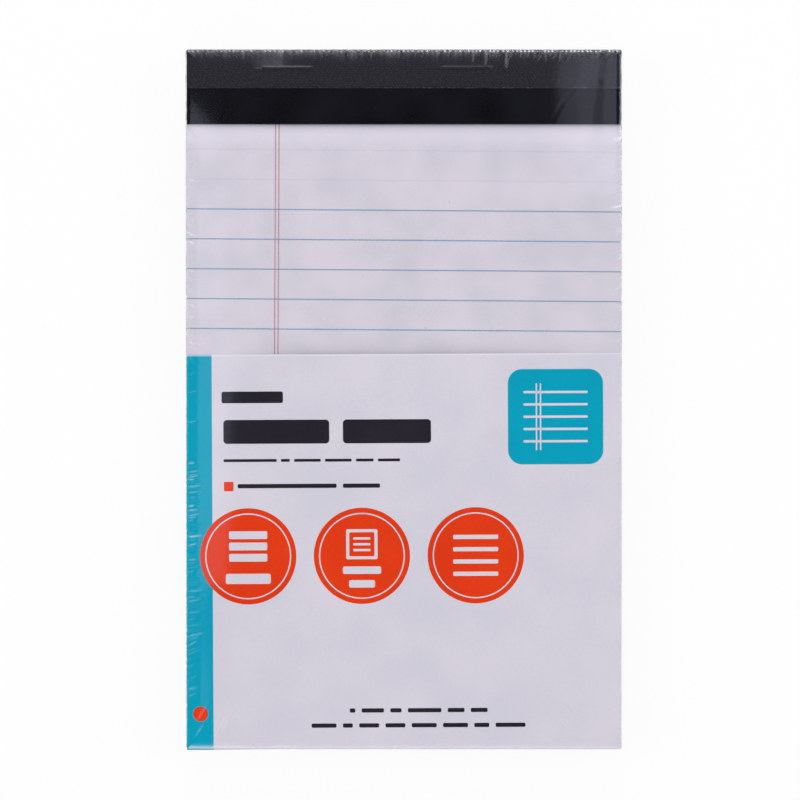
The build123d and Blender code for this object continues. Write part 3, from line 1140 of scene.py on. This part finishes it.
def filmRings():
    # the film's rows from the middle of the top, over the rim, down the wall and to the middle of
    # the underside: plan x and y, way down (0 top, 1 underside), distance inside the bend, drop
    ax, ay, cx, cy = ringPlan()
    halfX = filmLook["halfWidth"]
    halfY, midY = (filmHead - filmFoot) / 2, (filmHead + filmFoot) / 2
    # the bend is wider at the foot, and beside the tape on the right
    radius = filmLook["edgeRadius"] + filmLook["footExtra"] * smooth(0.6, 0.95, -cy)
    byTape = smooth(0.6, 0.95, cx) * smooth(76, 80, midY + ay * halfY)
    radius = radius + filmLook["tapeExtra"] * byTape
    last = filmLook["insets"][-1]

    def ringAt(inset):
        corner = np.maximum(filmLook["cornerRadius"] - inset, 0.1)
        x = ax * (halfX - inset - corner) + cx * corner
        y = midY + ay * (halfY - inset - corner) + cy * corner
        return x, y

    rows = []
    x, y = ringAt(radius + last * (1 - radius / last))
    for share in np.linspace(0, 1, filmLook["innerRings"] + 2)[1:-1]:
        rows.append((x * share, midY + (y - midY) * share, 0.0, last + 40 * (1 - share), 0.0))
    for inset in filmLook["insets"][::-1]:
        rows.append((*ringAt(radius + inset * (1 - radius / last)), 0.0, inset, 0.0))
    fineFrom = len(rows) - filmLook["fineInsets"]
    edge = np.linspace(0, math.pi / 2, filmLook["edgeRings"] + 1)
    bend = [(*ringAt(radius * (1 - math.sin(turn))), radius * (1 - math.cos(turn))) for turn in edge]
    rows += [(x, y, 0.0, 0.0, drop) for x, y, drop in bend]
    for way in np.linspace(0, 1, filmLook["wallRings"] + 2)[1:-1]:
        rows.append((*ringAt(0 * ax), way, 0.0, radius))
    rows += [(x, y, 1.0, 0.0, drop) for x, y, drop in bend[::-1]]
    fineTo = len(rows)
    x, y = rows[-1][:2]
    for share in np.linspace(1, 0, filmLook["backRings"] + 2)[1:-1]:
        rows.append((x * share, midY + (y - midY) * share, 1.0, 0.0, 0.0))
    grids = [np.array([np.broadcast_to(row[k], ax.shape) for row in rows]) for k in range(5)]
    return grids, (cx, cy), midY, (fineFrom, fineTo)


def ringFaces(inner, outer):
    # the faces between two rings of point numbers, where either may have half as many points
    if len(inner) == len(outer):
        return np.stack([inner, outer, np.roll(outer, -1), np.roll(inner, -1)], -1).tolist()
    if len(inner) < len(outer):
        even, odd = outer[::2], outer[1::2]
        return np.stack([inner, even, odd, np.roll(even, -1), np.roll(inner, -1)], -1).tolist()
    even, odd = inner[::2], inner[1::2]
    return np.stack([even, outer, np.roll(outer, -1), np.roll(even, -1), odd], -1).tolist()


def makeFilm(material):
    rng = np.random.default_rng(filmLook["seed"])
    (x, y, way, far, down), (cx, cy), midY, (fineFrom, fineTo) = filmRings()
    lowest = filmLook["clear"]
    z = (filmLevel(x, y) - down) * (1 - way) + (lowest + down) * way

    # wrinkles: a narrow ridge across the rim, slanting with the distance from it and fading out
    # with its reach; on the wall it goes on outwards and fades with the way down
    upright = np.abs(cx) > np.abs(cy)
    rimRow = fineTo - 1
    rimSpot = np.where(upright, y[rimRow], x[rimRow])
    rimSide = np.where(upright, np.where(cx > 0, 0, 2), np.where(cy > 0, 1, 3))
    onTop = (way == 0) * 1.0
    lift = np.zeros_like(x)
    hazeAndHighlight = np.zeros_like(x)
    for side, spot, slant, reach, width, tall, pale in wrinkleList(rng):
        near = (rimSide == side) & (np.abs(rimSpot - spot) < 3 * width + (abs(slant) + 1) * reach)
        deep = far[:, near]
        curved = slant * deep * (1.4 - 0.4 * deep / reach)
        off = ((y if side in (0, 2) else x)[:, near] - spot - curved) / width
        fade = np.clip(1 - deep / reach, 0, 1) * np.clip(1 - 1.4 * way[:, near], 0, 1)
        lift[:, near] += tall * np.exp(-off ** 2) * fade
        # painted highlight: a white streak along each wrinkle's crest stands in for its glint
        inside = smooth(0, 1.4, deep) if side == 2 else 1
        hazeAndHighlight[:, near] += pale * np.exp(-(off / 0.7) ** 2) * np.sqrt(fade) * inside
    for (x0, y0), (x1, y1), width, tall, pale in filmCreases:
        length = math.hypot(x1 - x0, y1 - y0)
        ux, uy = (x1 - x0) / length, (y1 - y0) / length
        t = (x - x0) * ux + (y - y0) * uy
        off = ((x - x0) * uy - (y - y0) * ux) / width
        crest = np.exp(-off ** 2) * smooth(-1, 1, t) * (1 - smooth(length - 2, length + 1, t)) * onTop
        lift += tall * crest
        # painted highlight along each crease's crest
        hazeAndHighlight += pale * crest
    # slow unevenness of the whole skin, and crumpling where it was sealed at the head
    height, length = filmLook["uneven"]
    lift += height * (waves(rng, x, y, length) + 1.5) * onTop
    crumple = rng.normal(0, 1, x.shape)
    crumple = (crumple + np.roll(crumple, 1, 1) + np.roll(crumple, -1, 1)) / 2
    # the streaks keep to the true x, because the mesh's columns draw together inwards
    head = np.flatnonzero(rimSide == 1)[::-1]
    fibres = np.interp(x, rimSpot[head], crumple[-1][head]) + 0.6 * crumple
    atHead = (rimSide == 1) * onTop
    # the band below the weld: white haze, partly real crumpling of the seal and partly a painted
    # reflection where the film curves over the head's bend
    mean, change, length = filmLook["bandDepth"]
    sunk = mean + change * waves(rng, rimSpot, 0 * rimSpot, length)
    hazeAndReflectionBand = np.exp(-far / sunk) * atHead * smooth(-0.1, 0.25, far)
    lift += filmLook["crumple"] * crumple * smooth(0, 1, 2.2 - far) * atHead
    hazeAndHighlight += filmLook["bandHazeAndReflection"] * hazeAndReflectionBand * np.clip(1 + filmLook["bandStreaks"] * fibres, 0, 2.2)
    # the weld: a row of white dots just inside the head's bend, each of its own strength
    count = filmLook["dotCount"]
    half, inside, depth = filmLook["dot"]
    spots = np.cumsum(rng.uniform(0.75, 1.25, count) * filmLook["dotPitch"]) - 64
    nearest = np.abs(rimSpot[:, None] - spots).argmin(1)
    strength = rng.uniform(0.2, 1.5, count) * (0.45 + 0.55 * smooth(-20, 40, spots))
    dots = strength[nearest] * np.exp(-((x - spots[nearest]) / half) ** 2)
    hazeAndHighlight += dots * np.exp(-((far - inside) / depth) ** 2) * np.clip(1 - down / 0.12, 0, 1) * atHead
    # painted reflection: a pale place beside the left staple, where the film between the rib and the
    # head would mirror more light
    middle, line, half, pale = filmLook["paintedReflection"]
    hazeAndHighlight += (pale * np.exp(-((x - middle) / half) ** 4) * smooth(line - 0.4, line + 0.4, y)
             * np.clip(1 + filmLook["paintedReflectionStreaks"] * fibres, 0, 2) * onTop)
    # painted highlight: the foot's bend is painted pale where the film is drawn round it
    pale, reach = filmLook["footHighlight"]
    hazeAndHighlight += pale * np.exp(-far / reach) * (rimSide == 3) * np.clip(1 - 3 * way, 0, 1)
    hazeAndHighlight = np.clip(hazeAndHighlight, 0, 1)
    wallWave = waves(rng, rimSpot, 30 * way, 9.0) + 0.5 * waves(rng, rimSpot, 14 * way, 3.0)
    push = filmLook["wallPush"] * (wallWave - 0.4) * np.exp(-((way - 0.5) / 0.35) ** 2)
    push = push * (way > 0) * (way < 1)

    z = z + lift * onTop
    x = x + cx * (push + 0.6 * lift * (1 - onTop))
    y = y + cy * (push + 0.6 * lift * (1 - onTop))
    points = np.stack([x, y, z, hazeAndHighlight], -1)
    rings, kept, total = [], [], 0
    for row, ring in enumerate(points):
        ring = ring if fineFrom <= row < fineTo else ring[::2]
        rings.append(np.arange(total, total + len(ring)))
        kept.append(ring)
        total += len(ring)
    faces = []
    for inner, outer in zip(rings, rings[1:]):
        faces += ringFaces(inner, outer)
    first, end = rings[0], rings[-1]
    faces += np.stack([first, np.roll(first, -1), np.full(len(first), total)], -1).tolist()
    faces += np.stack([np.roll(end, -1), end, np.full(len(end), total + 1)], -1).tolist()
    poleLevel = filmLevel(np.array(0.0), np.array(midY))
    kept.append(np.array([[0, midY, poleLevel, 0], [0, midY, lowest, 0]]))
    kept = np.concatenate(kept)
    piece = addPiece("film_skin", kept[:, :3], faces, material, sharp=180)
    addValues(piece, "hazeAndHighlight", "POINT", kept[:, 3])
    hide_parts("shrink_film")


def clearFilm():
    # thin film: see-through, with a mirror part that grows at grazing angles, and a white diffuse
    # part: real haze at the weld and the crumpled head, and painted highlights and reflections on
    # wrinkles, creases, a patch and the foot's bend; lamps and scattered light pass straight through
    material, tree = newMaterial("clearFilm")
    clear = put(tree, "BsdfTransparent", {"Color": filmLook["tint"]}).outputs[0]
    mirror = put(tree, "BsdfAnisotropic", {"Color": (1, 1, 1, 1),
                                           "Roughness": filmLook["roughness"]}).outputs[0]
    # mirror share = straight share + the rest times (1 - cosine) to the fifth
    facing = put(tree, "LayerWeight", {"Blend": 0.5}).outputs["Facing"]
    grazing = times(tree, maths(tree, "POWER", facing, 5.0), 1 - filmLook["mirror"])
    glossy = mixShaders(tree, plus(tree, grazing, filmLook["mirror"]), clear, mirror)
    hazeAndHighlightShader = put(tree, "BsdfDiffuse", {"Color": filmLook["hazeAndHighlight"]}).outputs[0]
    seen = mixShaders(tree, attributeOf(tree, "hazeAndHighlight"), glossy, hazeAndHighlightShader)
    path = put(tree, "LightPath").outputs
    passing = maths(tree, "MAXIMUM", path["Is Shadow Ray"], path["Is Diffuse Ray"])
    finishMaterial(tree, mixShaders(tree, passing, seen, clear))
    return material


makeFilm(clearFilm())

# Sealed seam: a bead round the head and both sides, half way up, welded in dots at the head
seamLook = {
    "seed": 8,
    "steps": 3600,
    "around": 8,
    "corner": 1.0,
    "sideWidth": 0.17,
    "sideMilk": 0.45,
    "headWidth": 0.16,
    "thick": 0.11,
    "dotPitch": 0.88,
    "dotWidth": 0.1,
    "inward": 0.05,          # the bead starts this far inside the film's wall
    "wander": (0.25, 16.0),  # slow change of its height: how far, and over what length
    "hazeAndHighlight": srgb(240, 240, 244),
    "grey": srgb(140, 135, 138),
}


def makeSeam(material):
    # centre line: up the right side, across the head and down the left side; round it an oval
    # whose width and place wander from point to point, wider and milky at every dot
    rng = np.random.default_rng(seamLook["seed"])
    corner = seamLook["corner"]
    x1, y0, y1 = filmLook["halfWidth"], filmFoot + 2.0, filmHead
    side, quarter, across = y1 - corner - y0, corner * math.pi / 2, 2 * (x1 - corner)
    marks = np.cumsum([0, side, quarter, across, quarter, side])
    s = np.linspace(0, marks[-1], seamLook["steps"])
    heading = (np.clip((s - marks[1]) / corner, 0, math.pi / 2)
               + np.clip((s - marks[3]) / corner, 0, math.pi / 2))
    x = (x1 - corner) - np.clip(s - marks[2], 0, across) + corner * np.cos(heading)
    y = y0 + np.clip(s, 0, marks[1]) - np.clip(s - marks[4], 0, marks[5]) + corner * np.sin(heading)
    outX, outY = np.cos(heading)[:, None], np.sin(heading)[:, None]
    atHead = smooth(marks[1], marks[2] + 1, s) * (1 - smooth(marks[3] - 1, marks[4], s))
    strength = rng.uniform(0, 1, int(marks[-1] / seamLook["dotPitch"]) + 2) ** 0.8
    dot = np.maximum(np.cos(2 * math.pi * s / seamLook["dotPitch"]), 0) ** 2
    dot = dot * strength[np.round(s / seamLook["dotPitch"]).astype(int)] * atHead
    jitter = rng.normal(0, 1, (3, len(s)))
    jitter = (jitter + np.roll(jitter, 1, 1) + np.roll(jitter, -1, 1)) / 2
    width = seamLook["sideWidth"] + (seamLook["headWidth"] - seamLook["sideWidth"]) * atHead
    wide = np.maximum(width * (1 + 0.3 * jitter[0]) + seamLook["dotWidth"] * dot, 0.06)[:, None] / 2
    thick = np.maximum(seamLook["thick"] * (1 + 0.3 * jitter[1] + dot), 0.04)[:, None] / 2
    tall, length = seamLook["wander"]
    middle = levelOn(2, tapeTop, y) / 2 + tall * waves(rng, s, 0 * s, length) + 0.04 * jitter[2]
    angle = np.linspace(0, 2 * math.pi, seamLook["around"] + 1)[:-1]
    out = wide - seamLook["inward"] + wide * np.cos(angle)
    points = np.stack([x[:, None] + outX * out, y[:, None] + outY * out,
                       middle[:, None] + thick * np.sin(angle)], -1)
    faces = gridQuads(len(s), seamLook["around"], closed=True)[:, ::-1].tolist()
    ring = list(range(seamLook["around"]))
    faces.append(ring)
    faces.append([(len(s) - 1) * seamLook["around"] + k for k in reversed(ring)])
    piece = addPiece("film_seam", points, faces, material, sharp=180)
    uneven = np.clip(0.6 + 0.4 * jitter[1], 0, 1.4)
    hazeAndHighlight = np.clip(0.12 + seamLook["sideMilk"] * uneven * (1 - atHead) + 0.88 * dot, 0, 1)
    hazeAndHighlight = np.repeat(hazeAndHighlight, seamLook["around"])
    addValues(piece, "hazeAndHighlight", "POINT", hazeAndHighlight)


def seamFilm():
    material, tree = newMaterial("seamFilm")
    share = attributeOf(tree, "hazeAndHighlight")
    roughness = plus(tree, times(tree, noise(tree, place(tree), 1.8, 2.0), 0.2), 0.15)
    clear = put(tree, "BsdfTransparent", {"Color": filmLook["tint"]}).outputs[0]
    colour = blendColour(tree, remap(tree, share, 0.5, 0.9), seamLook["grey"], seamLook["hazeAndHighlight"])
    melted = put(tree, "BsdfPrincipled", {"Base Color": colour, "Roughness": roughness}).outputs[0]
    finishMaterial(tree, mixShaders(tree, share, clear, melted))
    return material


makeSeam(seamFilm())
print("stage: film drawn over the pack")
